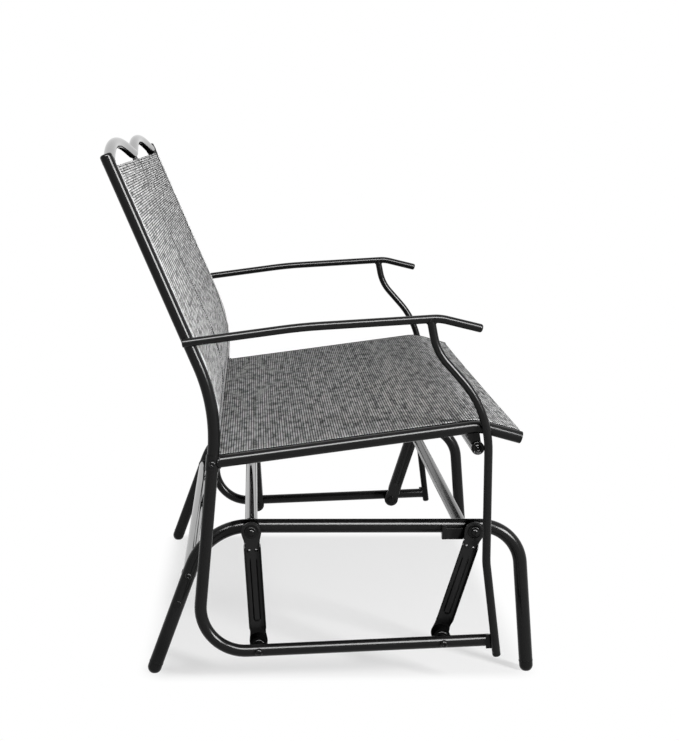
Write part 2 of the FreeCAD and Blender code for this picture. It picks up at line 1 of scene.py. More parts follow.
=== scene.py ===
# Patio glider bench: glossy black tube frame on four swing arms, with a grey woven seat and back
import json
import math
from functools import partial

import bmesh
import bpy
from mathutils import Matrix, Vector


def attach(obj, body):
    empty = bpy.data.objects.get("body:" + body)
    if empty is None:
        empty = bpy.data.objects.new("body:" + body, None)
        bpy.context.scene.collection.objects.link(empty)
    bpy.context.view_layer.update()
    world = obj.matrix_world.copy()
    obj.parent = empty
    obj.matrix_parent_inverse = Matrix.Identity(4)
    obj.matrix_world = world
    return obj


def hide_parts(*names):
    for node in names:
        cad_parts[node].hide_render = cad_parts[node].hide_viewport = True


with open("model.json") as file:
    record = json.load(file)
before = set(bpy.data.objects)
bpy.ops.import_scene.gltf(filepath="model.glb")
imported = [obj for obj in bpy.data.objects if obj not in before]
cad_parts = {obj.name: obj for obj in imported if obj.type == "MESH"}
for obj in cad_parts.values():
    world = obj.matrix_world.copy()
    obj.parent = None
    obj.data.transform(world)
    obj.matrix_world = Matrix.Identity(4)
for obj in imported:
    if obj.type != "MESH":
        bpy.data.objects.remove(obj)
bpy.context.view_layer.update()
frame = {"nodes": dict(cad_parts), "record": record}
nodes = frame["nodes"]

acrossAxis = Vector((1, 0, 0))
rearAxis = Vector((0, 1, 0))
upAxis = Vector((0, 0, 1))


# Shader tools

def feed(tree, socket, value):
    # a socket given as a value is linked, anything else is set
    if isinstance(value, bpy.types.NodeSocket):
        tree.links.new(value, socket)
    else:
        socket.default_value = value


def addNode(tree, kind, **values):
    node = tree.nodes.new(kind)
    for name, value in values.items():
        if hasattr(node, name):
            setattr(node, name, value)
        else:
            feed(tree, node.inputs[name.replace("_", " ")], value)
    return node


def mathNode(tree, operation, first, second=None, clamp=False):
    node = addNode(tree, "ShaderNodeMath", operation=operation, use_clamp=clamp)
    feed(tree, node.inputs[0], first)
    if second is not None:
        feed(tree, node.inputs[1], second)
    return node.outputs[0]


def mixColour(tree, amount, low, high):
    node = addNode(tree, "ShaderNodeMix", data_type="RGBA")
    for index, value in ((0, amount), (6, low), (7, high)):
        feed(tree, node.inputs[index], value)
    return node.outputs[2]


def stepNode(tree, value, low, high):
    node = addNode(tree, "ShaderNodeMapRange", interpolation_type="SMOOTHSTEP", Value=value, From_Min=low,
                   From_Max=high)
    return node.outputs["Result"]


def newGroup(name, inputs, outputs):
    group = bpy.data.node_groups.new(name, "ShaderNodeTree")
    for label, kind, value in inputs:
        socket = group.interface.new_socket(label, in_out="INPUT", socket_type="NodeSocket" + kind)
        socket.default_value = value
    for label, kind in outputs:
        group.interface.new_socket(label, in_out="OUTPUT", socket_type="NodeSocket" + kind)
    return group, group.nodes.new("NodeGroupInput").outputs, group.nodes.new("NodeGroupOutput").inputs


def groupMaterial(name, group, inputs, relief, depth, specular):
    # a Principled surface that takes its colour, roughness and relief from a group
    material = bpy.data.materials.new(name)
    material.use_nodes = True
    tree = material.node_tree
    surface = addNode(tree, "ShaderNodeGroup", node_tree=group)
    for label, value in inputs.items():
        surface.inputs[label].default_value = value
    bump = addNode(tree, "ShaderNodeBump", Strength=relief, Distance=depth, Height=surface.outputs["Height"])
    shader = tree.nodes["Principled BSDF"]
    for label, value in (("Base Color", surface.outputs["Colour"]), ("Roughness", surface.outputs["Roughness"]),
                         ("Normal", bump.outputs["Normal"]), ("Specular IOR Level", specular)):
        feed(tree, shader.inputs[label], value)
    return material, surface, shader


def grey(level):
    return (level, level, level, 1)


# A coated skin: fine orange peel, cloudy gloss, a little dust where the surface looks up, and a mask of the faces that
# look up or to the front for a painted reflection

skin = {"peel": {"Detail": 2.0, "Roughness": 0.4}, "cloud": {"Scale": 14.0, "Detail": 4.0, "Roughness": 0.6},
        "speck": {"Scale": 260.0, "Detail": 3.0, "Roughness": 0.7}, "dustFocus": 3.0, "dustGloss": 0.5,
        "upOrFront": (("Z", -0.05, 0.05), ("Y", -0.45, -0.62))}


def coatedSkinGroup():
    group, given, results = newGroup(
        "coatedSkin",
        [("Colour", "Color", grey(0.01)), ("Dust colour", "Color", grey(0.06)), ("Dust", "Float", 0.2),
         ("Peel size", "Float", 0.0016), ("Gloss", "Float", 0.2), ("Gloss spread", "Float", 0.08)],
        [("Colour", "Color"), ("Roughness", "Float"), ("Height", "Float"), ("Painted reflection mask", "Float")])
    add, less, times, most = (partial(mathNode, group, name) for name in ("ADD", "SUBTRACT", "MULTIPLY", "MAXIMUM"))
    place = addNode(group, "ShaderNodeTexCoord").outputs["Object"]

    def noise(name, **values):
        return addNode(group, "ShaderNodeTexNoise", Vector=place, **skin[name], **values).outputs["Fac"]

    peel = noise("peel", Scale=mathNode(group, "DIVIDE", 1.0, given["Peel size"]))
    cloud = noise("cloud")
    geometry = addNode(group, "ShaderNodeNewGeometry")
    facing = addNode(group, "ShaderNodeSeparateXYZ", Vector=geometry.outputs["Normal"]).outputs
    level = mathNode(group, "POWER", most(facing["Z"], 0.0), skin["dustFocus"])
    dusty = times(times(times(noise("speck"), cloud), level), given["Dust"], clamp=True)
    gloss = add(given["Gloss"], times(less(cloud, 0.5), given["Gloss spread"]))
    # one where the surface looks up or well to the front, nought elsewhere: the mask of the painted reflection
    upward = most(*[stepNode(group, facing[axis], low, high) for axis, low, high in skin["upOrFront"]])
    feed(group, results["Colour"], mixColour(group, dusty, given["Colour"], given["Dust colour"]))
    feed(group, results["Roughness"], add(gloss, times(dusty, skin["dustGloss"]), clamp=True))
    feed(group, results["Height"], peel)
    feed(group, results["Painted reflection mask"], upward)
    return group


coatedSkin = coatedSkinGroup()

finishes = {
    "framePaint": {"colour": 0.0050, "dust": 0.12, "peel": 0.0024, "gloss": 0.18, "spread": 0.05,
                   "bump": 0.04, "depth": 0.00004, "specular": 0.14},
    # painted reflection: black with no gloss underneath, and a strong mirror coat on the faces that look up or to the
    # front
    "crossPaintWithPaintedReflection": {"colour": 0.0045, "dust": 0.10, "peel": 0.0024, "gloss": 0.06, "spread": 0.04,
                   "bump": 0.03, "depth": 0.00003, "specular": 0.0, "paintedReflection": 1.0, "paintedReflectionIor": 4.0},
    "armPaint": {"colour": 0.0062, "dust": 0.25, "peel": 0.0018, "gloss": 0.20, "spread": 0.08,
                 "bump": 0.06, "depth": 0.00004, "specular": 0.16},
    "dullSteel": {"colour": 0.0030, "dust": 0.05, "peel": 0.0010, "gloss": 0.60, "spread": 0.10,
                  "bump": 0.08, "depth": 0.00004, "specular": 0.0},
    "edgeBlack": {"colour": 0.0030, "dust": 0.0, "peel": 0.0010, "gloss": 0.80, "spread": 0.05,
                  "bump": 0.10, "depth": 0.00004, "specular": 0.01},
    "boltBlack": {"colour": 0.0030, "dust": 0.05, "peel": 0.0009, "gloss": 0.09, "spread": 0.04,
                  "bump": 0.04, "depth": 0.00003, "specular": 0.14},
    "capPlastic": {"colour": 0.0035, "dust": 0.06, "peel": 0.0006, "gloss": 0.11, "spread": 0.04,
                   "bump": 0.06, "depth": 0.00003, "specular": 0.14},
    "bushNylon": {"colour": 0.012, "dust": 0.1, "peel": 0.0007, "gloss": 0.48, "spread": 0.10,
                  "bump": 0.20, "depth": 0.00005, "specular": 0.25},
    # painted highlight: a light cord, raised along the back cloth's side edges, gives a bright line beside the
    # uprights
    "paintedHighlightCord": {"colour": 0.55, "dust": 0.0, "peel": 0.0010, "gloss": 0.70, "spread": 0.05,
                 "bump": 0.30, "depth": 0.00008, "specular": 0.02},
    "sewingThread": {"colour": 0.30, "dust": 0.1, "peel": 0.0005, "gloss": 0.50, "spread": 0.10,
                     "bump": 0.30, "depth": 0.00010, "specular": 0.30},
}


def coatedMaterial(name, values):
    inputs = {"Colour": grey(values["colour"]), "Dust": values["dust"], "Peel size": values["peel"],
              "Gloss": values["gloss"], "Gloss spread": values["spread"]}
    material, surface, shader = groupMaterial(name, coatedSkin, inputs, values["bump"], values["depth"],
                                              values["specular"])
    if "paintedReflection" in values:
        # painted reflection: a mirror-like coat that only shows where the surface looks up or to the front, so these
        # tubes look white on top and stay black underneath
        tree = material.node_tree
        shader.inputs["Coat IOR"].default_value = values["paintedReflectionIor"]
        feed(tree, shader.inputs["Coat Weight"],
             mathNode(tree, "MULTIPLY", surface.outputs["Painted reflection mask"], values["paintedReflection"]))
    return material


materials = {name: coatedMaterial(name, values) for name, values in finishes.items()}


# Woven sling cloth: coated yarns, light ribs across the bench over darker threads along it

weave = {"ribPitch": 0.0042, "threadPitch": 0.0021, "lightYarn": 0.76, "darkYarn": 0.012, "ribShare": 0.70,
         "ribEdge": 2.6, "specular": 0.02, "relief": 0.6, "depth": 0.0006, "seamHalfWidth": 0.0085,
         "slub": 0.052, "slubShift": 7.0, "foldStart": 0.5330, "foldLift": 0.55,
         "cloud": {"Scale": 22.0, "Detail": 3.0, "Roughness": 0.6},
         "streak": {"Scale": 1.0, "Detail": 2.0, "Roughness": 0.5},
         "streakLength": 0.6, "streakRows": 0.36, "streakContrast": 3.0,
         "toneShares": {"speckle": 0.28, "slub": 0.35, "streak": 0.60, "row": 0.14, "cloud": 0.16},
         "toneDrop": 0.03, "gapShade": 0.45, "rough": 0.74, "roughSpread": 0.12}


def weaveGroup():
    group, given, results = newGroup(
        "slingWeave",
        [("Light yarn", "Color", grey(0.3)), ("Dark yarn", "Color", grey(0.02)), ("Rib pitch", "Float", 0.0042),
         ("Thread pitch", "Float", 0.0021), ("Rib share", "Float", 0.6), ("Seam half width", "Float", 0.0),
         ("Slub length", "Float", 0.04), ("Fold start", "Float", 0.5), ("Fold lift", "Float", 0.5)],
        [("Colour", "Color"), ("Roughness", "Float"), ("Height", "Float")])
    add, less, times, over = (partial(mathNode, group, name) for name in ("ADD", "SUBTRACT", "MULTIPLY", "DIVIDE"))
    floor, fraction, sine = (partial(mathNode, group, name) for name in ("FLOOR", "FRACT", "SINE"))
    place = addNode(group, "ShaderNodeTexCoord").outputs
    flat = addNode(group, "ShaderNodeSeparateXYZ", Vector=place["UV"]).outputs

    def cellNoise(thread, rib):
        # one value for each whole-number cell
        cell = addNode(group, "ShaderNodeCombineXYZ", X=thread, Y=rib)
        noise = addNode(group, "ShaderNodeTexWhiteNoise", noise_dimensions="2D", Vector=cell.outputs[0])
        return noise.outputs["Value"]

    overRibs = over(flat["Y"], given["Rib pitch"])
    rib = floor(overRibs)
    # every other rib shifts by half a thread, as a plain weave does
    shift = times(mathNode(group, "MODULO", rib, 2.0), 0.5)
    overThreads = add(over(flat["X"], given["Thread pitch"]), shift)
    ribRound = sine(times(fraction(overRibs), math.pi))
    threadRound = sine(times(fraction(overThreads), math.pi))
    speckle = cellNoise(floor(overThreads), rib)
    rowTone = cellNoise(0.0, rib)
    # slubs: each yarn is thicker and lighter over short stretches
    slubPlace = add(over(flat["X"], given["Slub length"]), times(rowTone, weave["slubShift"]))
    slub = cellNoise(floor(slubPlace), rib)
    cloud = addNode(group, "ShaderNodeTexNoise", Vector=place["Object"], **weave["cloud"]).outputs["Fac"]
    # neighbouring yarns darken together, in short wavy streaks
    streakPlace = addNode(group, "ShaderNodeCombineXYZ", Y=times(overRibs, weave["streakRows"]),
                          X=over(flat["X"], times(given["Slub length"], weave["streakLength"])))
    streak = addNode(group, "ShaderNodeTexNoise", noise_dimensions="2D", Vector=streakPlace.outputs[0],
                     **weave["streak"]).outputs["Fac"]
    streak = add(times(less(streak, 0.5), weave["streakContrast"]), 0.5, clamp=True)
    tone = 0.0
    for name, value in (("speckle", speckle), ("slub", slub), ("streak", streak), ("row", rowTone), ("cloud", cloud)):
        tone = add(tone, times(value, weave["toneShares"][name]))
    # the folded edges are two layers thick and lighter
    fromSeam = mathNode(group, "ABSOLUTE", flat["X"])
    fold = mathNode(group, "GREATER_THAN", fromSeam, given["Fold start"])
    tone = less(add(tone, times(fold, given["Fold lift"])), weave["toneDrop"])
    light = times(less(ribRound, less(1.0, given["Rib share"])), weave["ribEdge"], clamp=True)
    light = times(light, tone, clamp=True)
    gap = mathNode(group, "POWER", threadRound, 0.5)
    light = times(light, add(times(gap, weave["gapShade"]), 1 - weave["gapShade"]))
    seam = mathNode(group, "LESS_THAN", fromSeam, given["Seam half width"])
    light = times(light, less(1.0, seam))
    feed(group, results["Colour"], mixColour(group, light, given["Dark yarn"], given["Light yarn"]))
    feed(group, results["Roughness"], add(times(speckle, weave["roughSpread"]), weave["rough"]))
    feed(group, results["Height"], times(ribRound, add(times(gap, 0.5), 0.5)))
    return group


slingWeave = weaveGroup()


def clothMaterial(name, seamHalfWidth):
    inputs = {"Light yarn": grey(weave["lightYarn"]), "Dark yarn": grey(weave["darkYarn"]),
              "Rib pitch": weave["ribPitch"], "Thread pitch": weave["threadPitch"], "Rib share": weave["ribShare"],
              "Seam half width": seamHalfWidth, "Slub length": weave["slub"], "Fold start": weave["foldStart"],
              "Fold lift": weave["foldLift"]}
    return groupMaterial(name, slingWeave, inputs, weave["relief"], weave["depth"], weave["specular"])[0]


materials["slingCloth"] = clothMaterial("slingCloth", 0.0)
materials["seamedCloth"] = clothMaterial("seamedCloth", weave["seamHalfWidth"])

slotFinish = {"black_frame": "framePaint", "black_fastener": "boltBlack", "black_plastic": "capPlastic",
              "bush_plastic": "bushNylon", "sling_fabric": "slingCloth"}
# the top tube and the rear cross tubes take the finish with the painted reflection
frameFinish = {"housings": "dullSteel", "rear_upper": "crossPaintWithPaintedReflection", "rear_lower": "crossPaintWithPaintedReflection",
               "top_tube": "crossPaintWithPaintedReflection"}


def paintNodes():
    slots = {part["node"]: part["material_slot"] for part in frame["record"]["subparts"]}
    for name, node in nodes.items():
        finish = slotFinish[slots[name]]
        if slots[name] == "black_frame":
            finish = next((other for words, other in frameFinish.items() if words in name), finish)
        node.data.materials.clear()
        node.data.materials.append(materials[finish])


paintNodes()
print("materials:", ", ".join(materials))


# Mesh tools

sameSpot = 1e-6


def sideView(y, z, x=0.0):
    return Vector((x, y, z))


def normalTo(heading):
    return Vector((0, -heading.z, heading.y))


def leaning(degrees):
    # an upward side-view direction that leans back by an angle
    return Vector((0, math.sin(math.radians(degrees)), math.cos(math.radians(degrees))))


def smoothStep(low, high, value):
    share = min(1.0, max(0.0, (value - low) / (high - low)))
    return share * share * (3 - 2 * share)


def bentLine(corners, bends, step, arcStep):
    # places and headings along straight runs that are joined by tangent arcs
    line = []

    def addRun(start, end):
        count = max(1, round((end - start).length / step))
        heading = (end - start).normalized()
        for index in range(count):
            line.append((start.lerp(end, index / count), heading))

    start = corners[0]
    for index, bend in enumerate(bends):
        corner = corners[index + 1]
        back = (corners[index] - corner).normalized()
        ahead = (corners[index + 2] - corner).normalized()
        halfTurn = (math.pi - back.angle(ahead)) / 2
        reach = bend * math.tan(halfTurn)
        centre = corner + (back + ahead).normalized() * (bend / math.cos(halfTurn))
        arcStart = corner + back * reach
        if (arcStart - start).length > sameSpot:
            addRun(start, arcStart)
        spoke = arcStart - centre
        turnAxis = spoke.cross(-back).normalized()
        count = max(2, math.ceil(2 * halfTurn / arcStep))
        for piece in range(count):
            turn = Matrix.Rotation(2 * halfTurn * piece / count, 3, turnAxis)
            line.append((centre + turn @ spoke, (turn @ -back).normalized()))
        start = corner + ahead * reach
    addRun(start, corners[-1])
    line.append((corners[-1], (corners[-1] - corners[-2]).normalized()))
    return line


def addMesh(target, bm):
    # small meshes are made apart and joined, which is quicker than growing one large mesh
    mesh = bpy.data.meshes.new("part")
    bm.to_mesh(mesh)
    bm.free()
    target.from_mesh(mesh)
    bpy.data.meshes.remove(mesh)


def bothSides(bm):
    copy = bmesh.ops.duplicate(bm, geom=bm.verts[:] + bm.edges[:] + bm.faces[:])["geom"]
    verts = [item for item in copy if isinstance(item, bmesh.types.BMVert)]
    bmesh.ops.scale(bm, verts=verts, vec=(-1, 1, 1))
    return bm


def linkObject(name, data):
    item = bpy.data.objects.new(name, data)
    bpy.context.scene.collection.objects.link(item)
    return item


def finishPiece(name, bm, body, slot, finish=None, smooth=40.0, node=None):
    bmesh.ops.remove_doubles(bm, verts=bm.verts, dist=sameSpot)
    bmesh.ops.recalc_face_normals(bm, faces=bm.faces)
    mesh = bpy.data.meshes.new(name)
    bm.to_mesh(mesh)
    bm.free()
    mesh.materials.append(materials[finish or slotFinish[slot]])
    mesh.shade_smooth()
    mesh.set_sharp_from_angle(angle=math.radians(smooth))
    piece = linkObject(name, mesh)
    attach(piece, body)
    if node:
        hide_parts(node)
    return piece


# Slings

sling = {"hem": 0.026, "fold": 0.0024, "rollFit": 0.98, "cloth": 0.0012, "columns": 96, "step": 0.008, "arcStep": 0.35,
         "steepest": 0.5, "sagStart": 0.15, "sagSpan": 0.7, "grooveWidth": 0.006, "notchReach": (0.010, 0.006),
         "smooth": 60.0}
seatSling = {**sling, "line": [(-0.317, 0.4325), (-0.250, 0.4506), (0.184, 0.39020)], "bends": [0.070],
             "offset": 0.0095, "halfWidth": 0.5450, "sag": 0.005, "seam": 0.0, "finish": "slingCloth",
             "notch": 0.0045, "cordRise": 0.0001, "cordFinish": "edgeBlack"}
# the back's edge rolls are light and raised: a painted highlight along its side edges
backSling = {**sling, "line": [(0.1876, 0.406), (0.18155, 0.480), (0.34983, 0.867)], "bends": [0.300],
             "offset": 0.00725, "halfWidth": 0.5414, "sag": 0.004, "seam": 0.0022, "finish": "seamedCloth",
             "notch": 0.0, "cordRise": 0.0025, "cordFinish": "paintedHighlightCord"}


def slingPath(sling):
    # the cloth's side view: down under the hem, round the edge, over the top, and round the other edge
    flat = [sideView(y, z) for y, z in sling["line"]]
    raised = []
    for index, corner in enumerate(flat):
        run = (flat[min(index + 1, len(flat) - 1)] - flat[max(index - 1, 0)]).normalized()
        before = (corner - flat[index - 1]).normalized() if index else run
        normal = normalTo(run)
        raised.append(corner + normal * (sling["offset"] / max(normal.dot(normalTo(before)), sling["steepest"])))
    first = (raised[1] - raised[0]).normalized()
    last = (raised[-1] - raised[-2]).normalized()
    under = [normalTo(run) * -sling["fold"] for run in (first, last)]
    corners = [raised[0] + under[0] + first * sling["hem"], raised[0] + under[0]] + raised
    corners += [raised[-1] + under[1], raised[-1] + under[1] - last * sling["hem"]]
    roll = sling["fold"] / 2 * sling["rollFit"]
    return bentLine(corners, [roll, roll] + sling["bends"] + [roll, roll], sling["step"], sling["arcStep"])


def pathLengths(path):
    lengths = [0.0]
    for (here, _), (there, _) in zip(path, path[1:]):
        lengths.append(lengths[-1] + (there - here).length)
    return lengths


def slingDip(sling, path, distance, total, x):
    # how far the cloth hangs below its straight line, with the groove of the centre seam
    inner = min(1.0, max(0.0, (distance - sling["hem"]) / (total - 2 * sling["hem"])))
    side = x / sling["halfWidth"]
    sag = sling["sag"] * (1 - side * side) * math.sin(math.pi * (sling["sagStart"] + sling["sagSpan"] * inner))
    dip = sag + sling["seam"] * math.exp(-(x / sling["grooveWidth"]) ** 2)
    return normalTo(path[len(path) // 2][1]) * dip


def makeSling(name, sling, node):
    path = slingPath(sling)
    lengths = pathLengths(path)
    total = lengths[-1]
    bm = bmesh.new()
    uvLayer = bm.loops.layers.uv.new("clothMetres")
    bmesh.ops.create_grid(bm, x_segments=sling["columns"], y_segments=len(path) - 1, size=0.5)
    flatPlace = {}
    for vert in bm.verts:
        row = round((vert.co.y + 0.5) * (len(path) - 1))
        x = 2 * vert.co.x * sling["halfWidth"]
        if sling["seam"]:
            x = math.copysign(abs(x) ** 1.5 / sling["halfWidth"] ** 0.5, x)  # finer columns beside the seam
        # the seat's rear corners are cut back beside the joint bands
        nearRear = smoothStep(*sling["notchReach"], abs(total - sling["hem"] - lengths[row]))
        x *= 1 - sling["notch"] / sling["halfWidth"] * nearRear
        flatPlace[vert] = (x, lengths[row])
        vert.co = path[row][0] + acrossAxis * x - slingDip(sling, path, lengths[row], total, x)
    for face in bm.faces:
        for loop in face.loops:
            loop[uvLayer].uv = flatPlace[loop.vert]
    piece = finishPiece(name, bm, "seat_frame", "sling_fabric", sling["finish"], sling["smooth"], node)
    thickness = piece.modifiers.new("cloth", "SOLIDIFY")
    thickness.thickness = sling["cloth"]
    thickness.offset = 0.0
    return piece, total


def onSling(sling, path, lengths, distance, x):
    # place, heading and normal on top of the cloth, at a distance along its path
    last = len(path) - 1
    row = max(1, min(last, next((index for index, length in enumerate(lengths) if length >= distance), last)))
    share = (distance - lengths[row - 1]) / max(lengths[row] - lengths[row - 1], sameSpot)
    heading = (path[row][0] - path[row - 1][0]).normalized()
    place = path[row - 1][0].lerp(path[row][0], share) + acrossAxis * x
    return place - slingDip(sling, path, distance, lengths[-1], x), heading, normalTo(heading)


def barFrame(place, heading):
    # axes of a bar's section on a line that stays in one side view
    side = heading.cross(acrossAxis).normalized()
    return Matrix.Translation(place) @ Matrix((acrossAxis, side, heading)).transposed().to_4x4()


def addBar(target, line, radius, segments):
    bm = bmesh.new()
    ring = bmesh.ops.create_circle(bm, segments=segments, radius=radius, cap_ends=True)["verts"]
    last = barFrame(*line[0])
    bmesh.ops.transform(bm, matrix=last, verts=ring)
    edges = list({edge for vert in ring for edge in vert.link_edges})
    for place, heading in line[1:]:
        grown = bmesh.ops.extrude_edge_only(bm, edges=edges)["geom"]
        ring = [item for item in grown if isinstance(item, bmesh.types.BMVert)]
        here = barFrame(place, heading)
        bmesh.ops.transform(bm, matrix=here @ last.inverted(), verts=ring)
        last = here
        edges = [item for item in grown if isinstance(item, bmesh.types.BMEdge) and set(item.verts) <= set(ring)]
    bmesh.ops.holes_fill(bm, edges=edges, sides=0)
    addMesh(target, bm)


edging = {"roll": 0.0013, "rollSides": 10, "inFromEdge": 0.0004, "step": 0.012, "stitchPitch": 0.0052,
          "stitchLength": 0.0034, "stitchWidth": 0.00085, "stitchRise": 0.00095, "stitchSides": 6,
          "stitchRings": 4, "sideRow": 0.013, "hemRow": 0.021, "hemEnds": 0.006, "seamRow": 0.0110}


def addStitchRow(target, places):
    bm = bmesh.new()
    for place, heading, normal in places:
        axes = (heading * (edging["stitchLength"] / 2), normal.cross(heading) * (edging["stitchWidth"] / 2),
                normal * (edging["stitchWidth"] / 2))
        matrix = Matrix.Translation(place + normal * edging["stitchRise"]) @ Matrix(axes).transposed().to_4x4()
        bmesh.ops.create_uvsphere(bm, u_segments=edging["stitchSides"], v_segments=edging["stitchRings"],
                                  radius=1.0, matrix=matrix)
    addMesh(target, bm)


def makeEdging(name, sling):
    path = slingPath(sling)
    lengths = pathLengths(path)
    total = lengths[-1]
    start = sling["hem"] + 2 * sling["fold"]
    end = total - start
    # a roll of cloth in each slot; on the back it is light and raised, a painted highlight along the side edges
    bm = bmesh.new()
    count = round((end - start) / edging["step"])
    for side in (-1, 1):
        x = side * (sling["halfWidth"] - edging["inFromEdge"])
        line = []
        for index in range(count + 1):
            place, heading, normal = onSling(sling, path, lengths, start + (end - start) * index / count, x)
            line.append((place + normal * sling["cordRise"], heading))
        addBar(bm, line, edging["roll"], edging["rollSides"])
    rolls = finishPiece(name + "_edge_rolls", bm, "seat_frame", "sling_fabric", sling["cordFinish"])
    # rows of stitches along the sides, over both hems and beside the seam
    bm = bmesh.new()
    rows = [side * (sling["halfWidth"] - edging["sideRow"]) for side in (-1, 1)]
    if sling["seam"]:
        rows += [-edging["seamRow"], edging["seamRow"]]
    count = int((end - start) / edging["stitchPitch"])
    for x in rows:
        addStitchRow(bm, [onSling(sling, path, lengths, start + edging["stitchPitch"] * (index + 0.5), x)
                          for index in range(count)])
    count = int(2 * (sling["halfWidth"] - edging["hemEnds"]) / edging["stitchPitch"])
    for distance in (sling["hem"] + edging["hemRow"], total - sling["hem"] - edging["hemRow"]):
        places = []
        for index in range(count):
            x = edging["stitchPitch"] * (index + 0.5 - count / 2)
            place, heading, normal = onSling(sling, path, lengths, distance, x)
            places.append((place, acrossAxis, normal))
        addStitchRow(bm, places)
    stitching = finishPiece(name + "_stitching", bm, "seat_frame", "sling_fabric", "sewingThread")
    return [rolls, stitching]


seatCloth, seatLength = makeSling("seat_cloth", seatSling, "seat_sling")
backCloth, backLength = makeSling("back_cloth", backSling, "back_sling")
makeEdging("seat", seatSling)
makeEdging("back", backSling)
print("slings: seat", round(seatLength, 4), "back", round(backLength, 4))


# Tube radii, and how far each side's tubes stand from the middle

tube = {"base": 0.012, "frame": 0.01025, "cross": 0.011, "top": 0.0095, "slim": 0.007, "band": 0.01295}
baseHalf = 0.455
frameHalf = 0.550
armrestHalf = 0.56745


# Uprights: bars with a smooth bend

upright = {"line": ((0.189, 0.389), (0.18155, 0.480), (0.357, 0.8835)), "bends": [0.300], "step": 0.02,
           "arcStep": 0.02, "sides": 48}


def makeUprights():
    line = bentLine([sideView(y, z) for y, z in upright["line"]], upright["bends"], upright["step"],
                    upright["arcStep"])
    for word, side in (("left", 1), ("right", -1)):
        bm = bmesh.new()
        moved = [(place + acrossAxis * side * frameHalf, heading) for place, heading in line]
        addBar(bm, moved, tube["frame"], upright["sides"])
        finishPiece("upright_tube_" + word, bm, "seat_frame", "black_frame", node="back_upright_" + word)


makeUprights()
print("uprights done")


# Weld beads where one tube stands on another

weld = {"sides": 8, "stepsPerRipple": 3, "rippleHeight": 0.16, "legLean": -19.75, "lowerLean": -4.68,
        "backLean": 23.5, "archRun": (0.275, -0.045), "railRun": (0, 0.9904, -0.1378),
        "postRun": (0, 0.0105, 0.05217), "armrestRun": (0, 1, -0.0684)}


def addWeld(bm, meeting, stubAxis, stubRadius, otherAxis, otherRadius, bead=0.0019, ripples=26):
    stub = stubAxis.normalized()
    other = otherAxis.normalized()
    first = (other - stub * other.dot(stub)).normalized()
    second = stub.cross(first)
    section = bmesh.ops.create_circle(bm, segments=weld["sides"], radius=bead)["verts"]
    bmesh.ops.rotate(bm, verts=section, cent=(0, 0, 0), matrix=Matrix.Rotation(math.pi / 2, 3, "X"))
    bmesh.ops.translate(bm, verts=section, vec=(stubRadius, 0, 0))
    edges = {edge for vert in section for edge in vert.link_edges}
    before = set(bm.verts) - set(section)
    bmesh.ops.spin(bm, geom=list(section) + list(edges), cent=(0, 0, 0), axis=(0, 0, 1), angle=2 * math.pi,
                   steps=weld["stepsPerRipple"] * ripples, use_merge=True)
    stubFlat = stub - other * stub.dot(other)
    for vert in set(bm.verts) - before:
        turn = math.atan2(vert.co.y, vert.co.x)
        ripple = 1 + weld["rippleHeight"] * math.sin(ripples * turn)
        outward = (math.hypot(vert.co.x, vert.co.y) - stubRadius) * ripple
        rise = vert.co.z * ripple
        spoke = first * math.cos(turn) + second * math.sin(turn)
        ring = spoke * stubRadius
        ringFlat = ring - other * ring.dot(other)
        across = stubFlat.dot(ringFlat)
        under = across ** 2 - stubFlat.length_squared * (ringFlat.length_squared - otherRadius ** 2)
        stand = (across + math.sqrt(max(under, 0.0))) / stubFlat.length_squared
        vert.co = meeting - stub * stand + ring + spoke * outward + stub * rise


def makeWelds():
    leg, lower, back = (leaning(weld[name]) for name in ("legLean", "lowerLean", "backLean"))
    rail, post, armrest = (Vector(weld[name]) for name in ("railRun", "postRun", "armrestRun"))
    archAcross, archRise = weld["archRun"]
    arch = acrossAxis * archAcross + back * archRise
    # where two tubes meet, the first one's run and radius, the second one's run and radius, and the bead
    welds = {
        "base": [
            ((0.1255, 0.259, baseHalf), acrossAxis, "cross", rearAxis, "base", {}),
            ((0.23202, 0.174, baseHalf), acrossAxis, "cross", leg, "base", {})],
        "seat_frame": [
            ((0.19121, 0.362, frameHalf), acrossAxis, "frame", lower, "frame", {}),
            ((0.35374, 0.876, frameHalf), arch, "top", back, "frame", {"bead": 0.0014}),
            ((0.1889, 0.3895, frameHalf), rail, "frame", lower, "band", {"bead": 0.0016}),
            ((-0.1635, 0.63017, armrestHalf), post, "slim", armrest, "slim", {"bead": 0.0015, "ripples": 18})]}
    for body, rows in welds.items():
        bm = bmesh.new()
        for meeting, stubAxis, stub, otherAxis, other, bead in rows:
            addWeld(bm, sideView(*meeting), stubAxis, tube[stub], otherAxis, tube[other], **bead)
        finishPiece(body + "_welds", bothSides(bm), body, "black_frame")


makeWelds()
print("welds done")


# Round fittings, each spun from a profile of (along, radius) in millimetres

turning = {"steps": 48, "domeSteps": 8}


